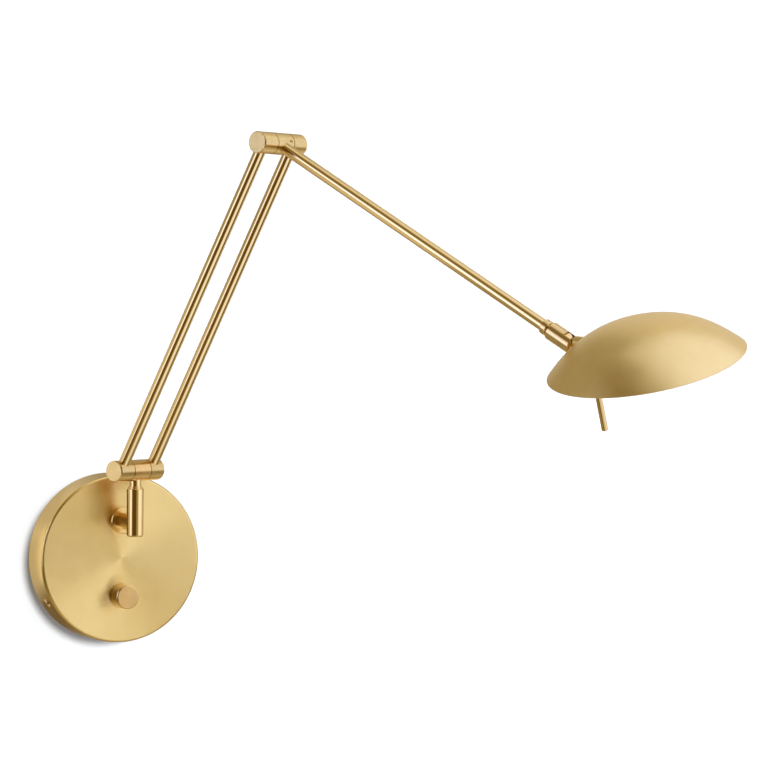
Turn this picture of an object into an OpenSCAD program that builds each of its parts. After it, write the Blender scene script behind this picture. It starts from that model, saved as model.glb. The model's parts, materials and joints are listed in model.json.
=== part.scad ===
// LED wall reading light in satin brass: a round wall canopy, a swivel post, two
// hinged arm stages and a round domed shade that turns and tilts on the arm's end.
// Millimetres. Origin: centre of the canopy's back on the wall. +X right, -Y out
// of the wall, +Z up. The arms stand in the pose of the Pose section.

/* [Wall canopy] */
// Outside diameter of the round canopy
canopy_d = 120; // [112:1:150]
// Depth from the wall to the canopy's face
canopy_depth = 26; // [24:0.5:36]
// Sheet thickness of the spun canopy
canopy_wall = 1.2; // [0.8:0.1:1.6]
// Rounding of the canopy's front edge
canopy_edge_r = 2.2; // [1:0.1:3]
// Direction of the right rim screw below the horizontal
rim_screw_angle = 32; // [25:1:45]
// Distance of the rim screws from the wall
rim_screw_y = 13; // [8:0.1:14]

/* [Wall bracket] */
// Sheet thickness of the wall bracket
bracket_t = 1.5; // [1.2:0.1:2]
// Gap between the bracket's round plate and the canopy's inside
bracket_inset = 10.8; // [9.6:0.1:12]
// Distance between the two wall screw holes
wall_screw_spacing = 78; // [76:1:82]
// Diameter of the wall screw holes
wall_screw_hole_d = 5; // [4:0.1:5.5]
// Diameter of the cable hole in the middle
cable_hole_d = 20; // [12:1:22]
// Width of the three bent ears
ear_w = 12; // [10:0.5:14]

/* [Stem and post] */
// Height of the stem above the canopy's centre
stem_z = 27; // [26:0.5:30]
// Outside diameter of the stem
stem_d = 12; // [11:0.1:13]
// Diameter of the rosette where the stem leaves the canopy
rosette_d = 18.3; // [16:0.1:22]
// Thickness of the rosette
rosette_t = 4.5; // [2:0.1:6]
// Distance of the post's axis from the canopy's face
post_reach = 26.4; // [22:0.2:34]
// Diameter of the vertical post
post_d = 12; // [11.6:0.1:14]
// Length of the post below the stem's axis
post_below = 9.6; // [8:0.1:14]
// Length of the post above the stem's axis
post_above = 24.3; // [22:0.1:32]

/* [Hinge barrels] */
// Diameter of the hinge barrels
barrel_d = 15; // [14:0.1:18]
// Length of the middle segment
barrel_mid = 17.2; // [15:0.1:20]
// Length of each outer segment
barrel_side = 14.6; // [13:0.1:18]
// Width of the seam between two segments
barrel_seam = 0.6; // [0.6:0.1:1]
// Chamfer on the barrel's ends
barrel_chamfer = 0.7; // [0.3:0.1:1.2]
// Diameter of the hinge axles
axle_d = 6; // [4:0.1:6.4]

/* [Arms] */
// Height of the lower barrel's axis above the top of the post
neck_h = 12.8; // [11:0.1:18]
// Diameter of the swivel neck
neck_d = 8; // [7:0.1:8.4]
// Outside diameter of the arm tubes
tube_d = 8; // [7:0.1:9]
// Wall of the arm tubes
tube_wall = 1; // [0.6:0.1:1.3]
// Distance between the axes of the two lower tubes
tube_spacing = 32.4; // [31:0.1:34]
// Length of the lower arm from axle to axle
lower_arm_length = 258.5; // [180:0.5:320]
// Length of the upper arm from its axle to the tilt pin
upper_arm_length = 267; // [190:0.5:330]

/* [Pose] */
// Swing of the arms to the right, from straight out of the wall
swivel_angle = 28.8; // [-80:0.1:80]
// Lean of the lower arm away from the vertical
lower_lean = 28.6; // [0:0.1:100]
// Turn of the upper arm from the lower arm's direction
elbow_turn = 90.9; // [0:0.1:130]
// Turn of the head about the upper arm
head_turn = 22.3; // [-90:0.1:90]
// Tilt of the shade from the line of the upper arm
head_tilt = 28.6; // [-30:0.1:88]

/* [Head joint] */
// Diameter of the head coupling
coupling_d = 12.2; // [11.8:0.1:13]
// Length of the coupling from its lower face to the tilt pin
coupling_back = 13.6; // [13.2:0.1:16]
// Length of the coupling beyond the tilt pin
coupling_front = 5.8; // [5:0.1:6]
// Width of the fork's slot
fork_slot = 5.2; // [4.4:0.1:5.8]
// Diameter of the tilt pin
tilt_pin_d = 3; // [2.4:0.1:3.6]
// Diameter of the collar on the arm's end
collar_d = 10.4; // [9.8:0.1:12]
// Length of the collar
collar_l = 4.4; // [3:0.1:6]
// Gap between the collar and the coupling
collar_gap = 1.4; // [0.6:0.1:2]

/* [Shade] */
// Outside diameter of the shade's rim
shade_d = 127.6; // [124:0.2:160]
// Height of the dome above its rim
shade_h = 28.3; // [27:0.1:40]
// Fullness of the dome's curve, where 2 is a parabola
shade_fullness = 2.42; // [2.2:0.02:2.8]
// Sheet thickness of the spun shade
shade_wall = 1; // [0.8:0.1:1.4]
// Distance of the tilt pin outside the rim
pivot_outside_rim = 2; // [1.6:0.1:6]
// Height of the tilt pin above the plane of the rim
pivot_above_rim = 10.5; // [10:0.1:11.4]
// Diameter of the stud that carries the shade
stud_d = 7.5; // [7:0.1:8]
// Diameter of the handle rod
handle_d = 4.2; // [3.4:0.1:5]
// Length of the handle rod below the rim
handle_below_rim = 49.2; // [30:0.2:70]
// Distance of the handle rod inside the shade's rim
handle_inset = 17.1; // [16.8:0.1:18]

/* [Light unit] */
// Gap between the light unit's ring and the end of the stud
sink_gap = 1.5; // [0.8:0.1:8]
// Number of fins on the heat sink
sink_fins = 12; // [8:1:16]
// Height of the diffuser's face above the plane of the rim
diffuser_z = 10; // [8.6:0.1:11]
// Number of light-emitting diodes in the outer ring
led_count = 12; // [6:1:16]

/* [Dimmer knob] */
// Diameter of the knob
knob_d = 17; // [16.4:0.1:22]
// Length of the knob
knob_l = 13; // [10:0.2:18]
// Distance of the knob's axis below the canopy's centre
knob_drop = 26.5; // [26:0.5:30]
// Rounding of the knob's front edge
knob_edge_r = 1.2; // [0.4:0.1:1.6]

/* [Fits] */
// Radial clearance of pins and axles that turn in their bores
run_fit = 0.05; // [0.03:0.01:0.08]
// Radial clearance of pieces that are fixed in each other
fixed_fit = 0.02; // [0.01:0.01:0.03]
// Gap between the faces of pieces that move past each other
face_gap = 0.3; // [0.25:0.05:0.4]

/* [Hidden] */
$fn = 96;
over = 1;

canopy_r = canopy_d/2;
canopy_inner_r = canopy_r - canopy_wall;
canopy_inner_y = canopy_depth - canopy_wall;
bracket_d = 2*(canopy_inner_r - bracket_inset);
ear_gap = 0.4;
ear_face_r = sqrt(pow(canopy_inner_r - ear_gap, 2) - pow(ear_w/2, 2));
ear_h = rim_screw_y + 5;
ear_t = 2;
rim_screw_d = 4;
rim_head_d = 8;
rim_head_h = 2.2;
rim_screw_gap = 0.1;
rim_seat_r = sqrt(pow(canopy_r, 2) - pow(rim_head_d/2 + rim_screw_gap, 2)) - 0.05;

post_y = canopy_depth + post_reach;
post_bottom_z = stem_z - post_below;
post_top_z = stem_z + post_above;
barrel_z = post_top_z + neck_h;
stem_tube_d = 8;
wire_bore_d = 4;
stem_tube_inside = 7;
stem_tube_y = post_y - wire_bore_d/2 - 0.4;
nut_t = 4;
nut_across = 13;

barrel_r = barrel_d/2;
axle_r = axle_d/2;
side_y = barrel_mid/2 + barrel_seam + barrel_side/2;
axle_grip = 9;
tube_seat = axle_r + 1.2;
tube_r = tube_d/2;

swivel_pin_depth = post_above - stem_tube_d/2 - 2.3;
thrust_d = 10;
thrust_t = 1;
groove_depth = 0.8;
grub_d = 3;
grub_clear = 0.25;
post_grub_drop = 9;
post_grub_z = post_top_z - post_grub_drop;

coupling_r = coupling_d/2;
eye_r = coupling_r - 0.9;
eye_t = fork_slot - 2*face_gap;
slot_depth = eye_r + face_gap;
neck_w = 5;
slot_open = 1.6;
spigot_r = 3.5;
spigot_end = slot_depth + 1;
spigot_start = coupling_back + collar_gap;
spigot_grip = 14;
coupling_grub_d = 2.5;
coupling_grub_z = (coupling_back + spigot_end)/2;
tube_end = upper_arm_length - spigot_start;

shade_r = shade_d/2;
pivot_radius = shade_r + pivot_outside_rim;
handle_radius = shade_r - handle_inset;
rim_land = 1.4*shade_wall;
stud_start = norm([coupling_front, coupling_r]) + face_gap;
thread_r = 3;
block_out = handle_radius + handle_d/2 + 1.7;
block_in = block_out - 9.5;
block_w = 12;
block_z = 1.2;
block_shoulder = block_out - 3.5;
stud_nut_t = 3.6;
stud_nut_across = 10;

diffuser_t = 2;
board_t = 1.6;
led_h = 0.7;
led_size = 3;
board_z = diffuser_z + diffuser_t + led_h + 0.7;
sink_z = board_z + board_t;
sink_t = 3;
ring_t = 1.9;
ring_lip = 2.2;
ring_lip_t = 0.7;
sink_r = block_in - stud_nut_t - 1 - sink_gap - ring_t;
hub_r = 8;
fin_t = 1.4;
led_inset = 12;

knob_r = knob_d/2;
knob_y = canopy_depth + 1;
bushing_r = 4;
shaft_r = 3;
dimmer_nut_t = 2;
dimmer_nut_r = 6.3;
dimmer_w = 17;
dimmer_t = 9;

driver_w = 30;
driver_h = 34;
driver_t = 19;
lug_w = 8;
lug_l = 6;
lug_t = 2;
terminal_w = 15;
terminal_h = 30;
terminal_t = 15;
clamp_r = 1.6;
clamp_y = bracket_t + 5;
module_x = cable_hole_d/2 + 2;

// Points along an arc
function arc(cx, cy, r, a0, a1, steps) =
    [for (i = [0:steps]) let (a = a0 + (a1 - a0)*i/steps) [cx + r*cos(a), cy + r*sin(a)]];

// Height of a domed surface of rim radius rim and height h at radius r
function dome_z(r, rim, h) = h*(1 - pow(r/rim, shade_fullness));

// Profile of a domed surface from its axis to its rim
function dome_profile(rim, h) =
    [for (i = [0:24]) let (r = rim*sin(90*i/24)) [r, dome_z(r, rim, h)]];

// Local z points out of the wall, local y up
module outward() rotate([90, 0, 0]) children();

// Origin on the swivel axis at the lower barrel, local x out along the arms
module swivel_frame()
    translate([0, -post_y, barrel_z]) rotate([0, 0, swivel_angle - 90]) children();

// Local z up the lower tubes, local y along the barrel
module lower_arm_frame() swivel_frame() rotate([0, lower_lean, 0]) children();

// Origin on the upper barrel's axis, local z up the lower tubes
module elbow_frame() lower_arm_frame() translate([0, 0, lower_arm_length]) children();

// Origin on the upper barrel's axis, local z along the upper tube
module upper_arm_frame() elbow_frame() rotate([0, elbow_turn, 0]) children();

// Origin at the tilt pin, local z along the upper tube, local y along the pin
module coupling_frame()
    upper_arm_frame() translate([0, 0, upper_arm_length]) rotate([0, 0, head_turn]) children();

// Origin at the tilt pin, local x towards the shade's axis, local z out of the dome
module tilt_frame() coupling_frame() rotate([0, -head_tilt - 90, 0]) children();

// Origin at the centre of the rim, local z out of the dome
module shade_frame() tilt_frame() translate([pivot_radius, 0, -pivot_above_rim]) children();

// Cylinder along y, centred on y
module y_rod(r, l, y = 0) translate([0, y, 0]) rotate([-90, 0, 0]) cylinder(r = r, h = l, center = true);

// Cylinder along x from x0 to x1
module x_rod(r, x0, x1) translate([x0, 0, 0]) rotate([0, 90, 0]) cylinder(r = r, h = x1 - x0);

// Cylinder along z from z0 to z1
module z_rod(r, z0, z1) translate([0, 0, z0]) cylinder(r = r, h = z1 - z0);

// Upright cylinder with a chamfer at each end
module chamfered_rod(r, z0, z1, c0, c1)
    rotate_extrude()
        polygon([[0, z0], [r - c0, z0], [r, z0 + c0], [r, z1 - c1], [r - c1, z1], [0, z1]]);

// Hexagonal nut on z with a bore
module hex_nut(across, t, bore_r)
    difference() {
        cylinder(d = across/cos(30), h = t, $fn = 6);
        translate([0, 0, -over]) cylinder(r = bore_r, h = t + 2*over);
    }

// Socket set screw on z, its hexagon socket at the top end
module grub_screw(r, z0, z1)
    difference() {
        z_rod(r, z0, z1);
        translate([0, 0, z1 - 0.45*(z1 - z0)])
            cylinder(r = 0.55*r, h = z1 - z0, $fn = 6);
    }

// Groove for a set screw of diameter screw_d round a pin of radius r at height z
module ring_groove(r, z, screw_d) {
    w = screw_d + 2*grub_clear;
    difference() {
        z_rod(r + over, z - w/2, z + w/2);
        z_rod(r - groove_depth, z - w, z + w);
    }
}

module rim_screw_places()
    for (side = [0, 1])
        rotate([0, 0, side == 0 ? -rim_screw_angle : 180 + rim_screw_angle])
            translate([0, 0, rim_screw_y]) children();

// One bent ear of the bracket with its threaded hole, pointing along x
module bracket_ear(face_r, hole)
    difference() {
        union() {
            translate([bracket_d/4, -ear_w/2, 0]) cube([face_r - bracket_d/4, ear_w, bracket_t]);
            translate([face_r - ear_t, -ear_w/2, 0]) cube([ear_t, ear_w, ear_h]);
        }
        if (hole)
            translate([0, 0, rim_screw_y]) x_rod(rim_screw_d/2 + fixed_fit, face_r - ear_t - over, face_r + over);
    }

module wall_bracket()
    color("silver")
        outward()
            difference() {
                union() {
                    cylinder(d = bracket_d, h = bracket_t);
                    for (a = [-rim_screw_angle, 180 + rim_screw_angle])
                        rotate([0, 0, a]) bracket_ear(ear_face_r, true);
                    rotate([0, 0, 90]) bracket_ear(ear_face_r, false);
                }
                translate([0, 0, -over]) cylinder(d = cable_hole_d, h = bracket_t + 2*over);
                for (side = [-1, 1])
                    translate([0, side*wall_screw_spacing/2, -over])
                        cylinder(d = wall_screw_hole_d, h = bracket_t + 2*over);
                driver_screw_places() z_rod(1.25 + fixed_fit, -over, bracket_t + over);
                terminal_place() z_rod(1.25 + fixed_fit, -over, bracket_t + over);
                earth_place() z_rod(2 + fixed_fit, -over, bracket_t + over);
            }

module canopy()
    color("goldenrod")
        outward()
            difference() {
                rotate_extrude()
                    polygon(concat(
                        [[canopy_inner_r, 0], [canopy_r, 0]],
                        arc(canopy_r - canopy_edge_r, canopy_depth - canopy_edge_r, canopy_edge_r, 0, 90, 8),
                        [[0, canopy_depth], [0, canopy_inner_y], [canopy_inner_r - 0.6, canopy_inner_y],
                         [canopy_inner_r, canopy_inner_y - 0.6]]));
                translate([0, stem_z, 0])
                    z_rod(stem_tube_d/2 + 0.1, canopy_inner_y - over, canopy_depth + over);
                translate([0, -knob_drop, 0])
                    z_rod(bushing_r + 0.1, canopy_inner_y - over, canopy_depth + over);
                rim_screw_places() {
                    x_rod(rim_screw_d/2 + rim_screw_gap, canopy_inner_r - over, canopy_r + over);
                    x_rod(rim_head_d/2 + rim_screw_gap, rim_seat_r, canopy_r + over);
                }
            }

module canopy_screws()
    color("darkgoldenrod")
        outward()
            rim_screw_places()
                difference() {
                    rotate([0, 90, 0]) rotate_extrude()
                        polygon(concat(
                            [[0, ear_face_r - 5], [rim_screw_d/2, ear_face_r - 5],
                             [rim_screw_d/2, rim_seat_r], [rim_head_d/2, rim_seat_r]],
                            [for (i = [0:8]) [rim_head_d/2*cos(90*i/8),
                                              rim_seat_r + 0.4 + (rim_head_h - 0.4)*sin(90*i/8)]]));
                    translate([rim_seat_r + 0.5*rim_head_h, -rim_head_d, -0.5])
                        cube([rim_head_h, 2*rim_head_d, 1]);
                }

module rosette()
    color("goldenrod")
        outward() translate([0, stem_z, canopy_depth])
            difference() {
                chamfered_rod(rosette_d/2, 0, rosette_t, 0, 0.5);
                z_rod(stem_d/2 + fixed_fit, -over, rosette_t + over);
            }

module stem()
    color("goldenrod")
        difference() {
            outward() translate([0, stem_z, 0]) difference() {
                z_rod(stem_d/2, canopy_depth, post_y);
                z_rod(stem_tube_d/2 + fixed_fit, canopy_depth - over, post_y + over);
            }
            translate([0, -post_y, 0])
                z_rod(post_d/2 + fixed_fit, post_bottom_z - over, post_top_z + over);
        }

module stem_tube()
    color("silver")
        outward() translate([0, stem_z, 0])
            difference() {
                z_rod(stem_tube_d/2, canopy_depth - stem_tube_inside, stem_tube_y);
                z_rod(wire_bore_d/2, canopy_depth - stem_tube_inside - over, post_y + over);
            }

module stem_nut()
    color("silver")
        outward() translate([0, stem_z, canopy_inner_y - nut_t])
            hex_nut(nut_across, nut_t, stem_tube_d/2 + fixed_fit);

module post()
    color("goldenrod")
        difference() {
            translate([0, -post_y, 0])
                chamfered_rod(post_d/2, post_bottom_z, post_top_z, 1, 0.4);
            translate([0, -post_y, 0]) {
                z_rod(neck_d/2 + run_fit, post_top_z - swivel_pin_depth, post_top_z + over);
                z_rod(wire_bore_d/2, stem_z, post_top_z);
            }
            outward() translate([0, stem_z, 0]) {
                z_rod(stem_tube_d/2 + fixed_fit, canopy_depth, stem_tube_y);
                z_rod(wire_bore_d/2, canopy_depth, post_y);
            }
            post_grub_place() z_rod(grub_d/2 + fixed_fit, neck_d/2 - over, post_d/2 + over);
        }

// Radial place of the set screw at the back of the post, local z away from its axis
module post_grub_place()
    translate([0, -post_y, post_grub_z]) rotate([-90, 0, 0]) children();

module post_grub_screw()
    color("dimgray")
        post_grub_place() grub_screw(grub_d/2, neck_d/2 - groove_depth + grub_clear, post_d/2 - 0.2);

module driver_screw_places()
    for (side = [-1, 1])
        translate([-module_x - driver_w/2, side*(driver_h/2 + lug_l/2), 0]) children();

module terminal_place()
    translate([module_x + terminal_w/2, terminal_h/2 + 3.4, 0]) children();

module earth_place()
    translate([module_x + terminal_w/2, -terminal_h/2 - 7, 0]) children();

module driver_case()
    color("whitesmoke")
        outward() {
            translate([-module_x - driver_w, -driver_h/2, bracket_t]) cube([driver_w, driver_h, driver_t]);
            difference() {
                translate([-module_x - driver_w/2 - lug_w/2, -driver_h/2 - lug_l, bracket_t])
                    cube([lug_w, driver_h + 2*lug_l, lug_t]);
                driver_screw_places() z_rod(1.35, 0, bracket_t + lug_t + over);
            }
        }

module driver_screws()
    color("silver")
        outward() driver_screw_places() {
            z_rod(1.25, 0.2, bracket_t + lug_t);
            z_rod(2.4, bracket_t + lug_t, bracket_t + lug_t + 1.6);
        }

module terminal_block()
    color("ivory")
        outward()
            difference() {
                union() {
                    translate([module_x, -terminal_h/2, bracket_t]) cube([terminal_w, terminal_h, terminal_t]);
                    translate([module_x + terminal_w/2 - 3, terminal_h/2, bracket_t]) cube([6, 6.4, 3]);
                }
                terminal_place() z_rod(1.35, 0, bracket_t + 4);
                for (i = [-1:1]) translate([module_x + terminal_w/2, i*terminal_h/3, 0]) {
                    z_rod(clamp_r, clamp_y, bracket_t + terminal_t + over);
                    translate([0, 0, clamp_y]) x_rod(clamp_r, -terminal_w/2 - over, terminal_w/2 + over);
                }
            }

module terminal_screws()
    color("silver")
        outward() {
            for (i = [-1:1]) translate([module_x + terminal_w/2, i*terminal_h/3, 0])
                z_rod(clamp_r - fixed_fit, clamp_y + clamp_r, bracket_t + terminal_t - 2.5);
            terminal_place() {
                z_rod(1.25, 0.2, bracket_t + 3);
                z_rod(2.4, bracket_t + 3, bracket_t + 4.6);
            }
        }

module earth_screw()
    color("goldenrod")
        outward() earth_place() {
            z_rod(2, 0.2, bracket_t + 1);
            z_rod(3.6, bracket_t, bracket_t + 2.4);
        }

module dimmer_body()
    color("dimgray")
        outward() translate([0, -knob_drop, 0])
            difference() {
                union() {
                    translate([-dimmer_w/2, -dimmer_w/2, canopy_inner_y - dimmer_t])
                        cube([dimmer_w, dimmer_w, dimmer_t]);
                    z_rod(bushing_r, canopy_inner_y - over, canopy_depth + dimmer_nut_t + 0.6);
                }
                z_rod(shaft_r + run_fit, canopy_inner_y - dimmer_t + 2, canopy_depth + knob_l);
            }

module dimmer_nut()
    color("silver")
        outward() translate([0, -knob_drop, canopy_depth])
            hex_nut(2*dimmer_nut_r*cos(30), dimmer_nut_t, bushing_r + fixed_fit);

module dimmer_knob()
    color("goldenrod")
        outward() translate([0, -knob_drop, 0])
            difference() {
                rotate_extrude()
                    polygon(concat(
                        [[0, knob_y], [knob_r - 0.3, knob_y], [knob_r, knob_y + 0.3]],
                        arc(knob_r - knob_edge_r, knob_y + knob_l - knob_edge_r, knob_edge_r, 0, 90, 6),
                        [[0, knob_y + knob_l]]));
                z_rod(dimmer_nut_r + 0.5, knob_y - over, canopy_depth + dimmer_nut_t + 1.2);
                z_rod(shaft_r + fixed_fit, knob_y, knob_y + knob_l - 2);
                knob_grub_place() z_rod(1.25 + fixed_fit, 0, knob_r + over);
            }

module dimmer_shaft()
    color("silver")
        outward() translate([0, -knob_drop, 0])
            z_rod(shaft_r, canopy_inner_y - dimmer_t + 2.3, knob_y + knob_l - 2.3);

module knob_grub_place()
    translate([0, 0, knob_y + 0.62*knob_l]) rotate([90, 0, 0]) children();

module knob_grub_screw()
    color("dimgray")
        outward() translate([0, -knob_drop, 0])
            knob_grub_place() grub_screw(1.25, shaft_r + 0.05, knob_r - 0.3);

module swivel_pin()
    color("goldenrod")
        translate([0, -post_y, 0])
            difference() {
                union() {
                    z_rod(neck_d/2, post_top_z - swivel_pin_depth + 0.4, barrel_z - tube_seat);
                    chamfered_rod(thrust_d/2, post_top_z + face_gap, post_top_z + face_gap + thrust_t, 0, 0.3);
                }
                z_rod(wire_bore_d/2, post_top_z - swivel_pin_depth - over, barrel_z);
                ring_groove(neck_d/2, post_grub_z, grub_d);
            }

// Middle segment of a barrel, with a running bore for its axle
module barrel_middle()
    difference() {
        y_rod(barrel_r, barrel_mid);
        y_rod(axle_r + run_fit, barrel_mid + 2*over);
    }

// Outer segment on side -1 or 1, with a blind bore for its axle
module barrel_outer(side)
    difference() {
        translate([0, side*(side_y - barrel_side/2), 0]) rotate([-90*side, 0, 0])
            chamfered_rod(barrel_r, 0, barrel_side, 0, barrel_chamfer);
        y_rod(axle_r + fixed_fit, 2*axle_grip + barrel_mid + 2*barrel_seam + 0.4);
    }

module hinge_axle() y_rod(axle_r, 2*axle_grip + barrel_mid + 2*barrel_seam);

// Friction washers against the inner faces of the outer segments
module hinge_washers()
    for (side = [-1, 1])
        difference() {
            y_rod(barrel_r - 1.1, barrel_seam - face_gap, side*(barrel_mid/2 + (barrel_seam + face_gap)/2));
            y_rod(axle_r + fixed_fit, barrel_mid + 4*barrel_seam + 2*over);
        }

module lower_knuckle()
    color("goldenrod")
        swivel_frame()
            difference() {
                barrel_middle();
                z_rod(neck_d/2 + fixed_fit, -barrel_r - over, -tube_seat);
            }

module lower_barrel(side)
    color("goldenrod")
        lower_arm_frame()
            difference() {
                barrel_outer(side);
                translate([0, side*tube_spacing/2, 0]) z_rod(tube_r + fixed_fit, tube_seat, barrel_r + over);
            }

module upper_barrel(side)
    color("goldenrod")
        elbow_frame()
            difference() {
                barrel_outer(side);
                translate([0, side*tube_spacing/2, 0]) z_rod(tube_r + fixed_fit, -barrel_r - over, -tube_seat);
            }

// Hollow tube on z between two seats
module arm_tube(z0, z1)
    difference() {
        z_rod(tube_r, z0, z1);
        z_rod(tube_r - tube_wall, z0 - over, z1 + over);
    }

module lower_tube(side)
    color("goldenrod")
        lower_arm_frame() translate([0, side*tube_spacing/2, 0])
            arm_tube(tube_seat, lower_arm_length - tube_seat);

module lower_barrel_left() lower_barrel(-1);
module lower_barrel_right() lower_barrel(1);
module lower_axle() color("silver") lower_arm_frame() hinge_axle();
module lower_washers() color("dimgray") lower_arm_frame() hinge_washers();
module lower_tube_left() lower_tube(-1);
module lower_tube_right() lower_tube(1);
module upper_barrel_left() upper_barrel(-1);
module upper_barrel_right() upper_barrel(1);
module elbow_axle() color("silver") elbow_frame() hinge_axle();
module elbow_washers() color("dimgray") elbow_frame() hinge_washers();

// Radial place of the friction screw in the elbow, beside the tube and above it
module elbow_grub_place()
    upper_arm_frame() translate([0, barrel_mid/2 - 3.6, 0]) rotate([0, -42.5, 0]) children();

module elbow_knuckle()
    color("goldenrod")
        difference() {
            upper_arm_frame()
                difference() {
                    barrel_middle();
                    z_rod(tube_r + fixed_fit, tube_seat, barrel_r + over);
                }
            elbow_grub_place() z_rod(grub_d/2 + fixed_fit, axle_r, barrel_r + over);
        }

module elbow_grub_screw()
    color("dimgray")
        elbow_grub_place() grub_screw(grub_d/2, axle_r + face_gap, barrel_r - 0.25);

module upper_tube()
    color("goldenrod")
        upper_arm_frame() arm_tube(tube_seat, tube_end);

module arm_collar()
    color("goldenrod")
        upper_arm_frame()
            difference() {
                chamfered_rod(collar_d/2, tube_end - collar_l, tube_end, 0.4, 0.4);
                z_rod(tube_r + fixed_fit, tube_end - collar_l - over, tube_end + over);
            }

module coupling_spigot()
    color("darkgoldenrod")
        coupling_frame()
            difference() {
                union() {
                    z_rod(tube_r - tube_wall - fixed_fit, -spigot_start - spigot_grip, -spigot_start);
                    z_rod(spigot_r, -spigot_start, -spigot_end - face_gap);
                }
                ring_groove(spigot_r, -coupling_grub_z, coupling_grub_d);
            }

// Radial place of the coupling's set screw, underneath the arm
module coupling_grub_place()
    coupling_frame() translate([0, 0, -coupling_grub_z]) rotate([0, 90, 0]) children();

module head_coupling()
    color("goldenrod")
        difference() {
            coupling_frame()
                difference() {
                    chamfered_rod(coupling_r, -coupling_back, coupling_front, 0.5, 0.7);
                    z_rod(spigot_r + run_fit, -coupling_back - over, -spigot_end);
                    y_rod(slot_depth, fork_slot);
                    translate([-coupling_d, -fork_slot/2, -slot_open])
                        cube([2*coupling_d, fork_slot, slot_open + coupling_front + over]);
                    y_rod(tilt_pin_d/2 + fixed_fit, coupling_d + over);
                }
            coupling_grub_place() z_rod(coupling_grub_d/2 + fixed_fit, 0, coupling_r + over);
        }

module coupling_grub_screw()
    color("dimgray")
        coupling_grub_place()
            grub_screw(coupling_grub_d/2, spigot_r - groove_depth + grub_clear, coupling_r - 0.25);

module tilt_pin()
    color("silver")
        coupling_frame() y_rod(tilt_pin_d/2, 2*sqrt(pow(coupling_r, 2) - pow(tilt_pin_d/2, 2)) - 0.2);

// Eye in the fork, neck, round stud into the shade and thread through the block
module tilt_stud()
    color("goldenrod")
        tilt_frame()
            difference() {
                union() {
                    y_rod(eye_r, eye_t);
                    translate([0, -eye_t/2, -neck_w/2]) cube([stud_start + 0.5, eye_t, neck_w]);
                    x_rod(stud_d/2, stud_start, pivot_radius - block_shoulder);
                    x_rod(thread_r, stud_start, pivot_radius - block_in + stud_nut_t + 1);
                }
                y_rod(tilt_pin_d/2 + run_fit, eye_t + 2*over);
            }

module stud_nut()
    color("silver")
        tilt_frame() translate([pivot_radius - block_in, 0, 0]) rotate([0, 90, 0])
            hex_nut(stud_nut_across, stud_nut_t, thread_r + fixed_fit);

// Solid that fills the inside of the shell, drawn in by the given gap
module shell_inside(gap)
    rotate_extrude()
        polygon(concat([[0, 0]], dome_profile(shade_r - rim_land - gap, shade_h - shade_wall - gap)));

module shade_shell()
    color("goldenrod")
        shade_frame()
            difference() {
                rotate_extrude()
                    polygon(concat(
                        dome_profile(shade_r, shade_h),
                        [for (i = [24:-1:0]) dome_profile(shade_r - rim_land, shade_h - shade_wall)[i]]));
                translate([0, 0, pivot_above_rim])
                    x_rod(stud_d/2 + 0.2, -pivot_radius, -block_in);
            }

// Block that joins the stud, the shell and the handle rod
module joint_block()
    color("darkgoldenrod")
        shade_frame()
            difference() {
                intersection() {
                    translate([-block_out, -block_w/2, block_z]) cube([block_out - block_in, block_w, shade_h]);
                    shell_inside(0.05);
                }
                translate([0, 0, pivot_above_rim]) {
                    x_rod(stud_d/2 + fixed_fit, -pivot_radius, -block_shoulder);
                    x_rod(thread_r + fixed_fit, -pivot_radius, 0);
                }
                translate([-handle_radius, 0, 0]) z_rod(1.5 + fixed_fit, 0, handle_top + 0.2);
            }

handle_top = pivot_above_rim - stud_d/2 - 1;

module handle_rod()
    color("goldenrod")
        shade_frame() translate([-handle_radius, 0, 0]) {
            chamfered_rod(handle_d/2, -handle_below_rim, block_z, 0.4, 0.2);
            z_rod(1.5, block_z - over, handle_top);
        }

// Plate with a hub that seats under the dome's top and radial fins
module heat_sink()
    color("lightgray")
        shade_frame()
            intersection() {
                union() {
                    z_rod(sink_r, sink_z, sink_z + sink_t);
                    z_rod(hub_r, sink_z, shade_h);
                    intersection() {
                        for (i = [0:sink_fins - 1])
                            rotate([0, 0, 360*i/sink_fins])
                                translate([hub_r - 1, -fin_t/2, sink_z]) cube([sink_r - hub_r, fin_t, shade_h]);
                        shell_inside(1);
                    }
                }
                shell_inside(0.05);
            }

module led_board()
    color("white")
        shade_frame() z_rod(sink_r - 5, board_z, sink_z);

module leds()
    color("gold")
        shade_frame()
            for (i = [0:led_count - 1])
                rotate([0, 0, 360*i/led_count])
                    translate([sink_r - led_inset, 0, board_z - led_h/2]) cube([led_size, led_size, led_h], center = true);

// Frosted cover, a shallow cup that closes the board in
module diffuser()
    color("white")
        shade_frame()
            difference() {
                z_rod(sink_r - 0.2, diffuser_z, sink_z);
                z_rod(sink_r - 2.6, diffuser_z + diffuser_t, sink_z + over);
            }

// Ring round the heat sink, with a lip under the diffuser's edge
module diffuser_ring()
    color("whitesmoke")
        shade_frame()
            difference() {
                z_rod(sink_r + ring_t, diffuser_z - ring_lip_t, sink_z + sink_t - 0.6);
                z_rod(sink_r + 0.05, diffuser_z, sink_z + sink_t + over);
                z_rod(sink_r - ring_lip, diffuser_z - ring_lip_t - over, diffuser_z + over);
            }

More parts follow.
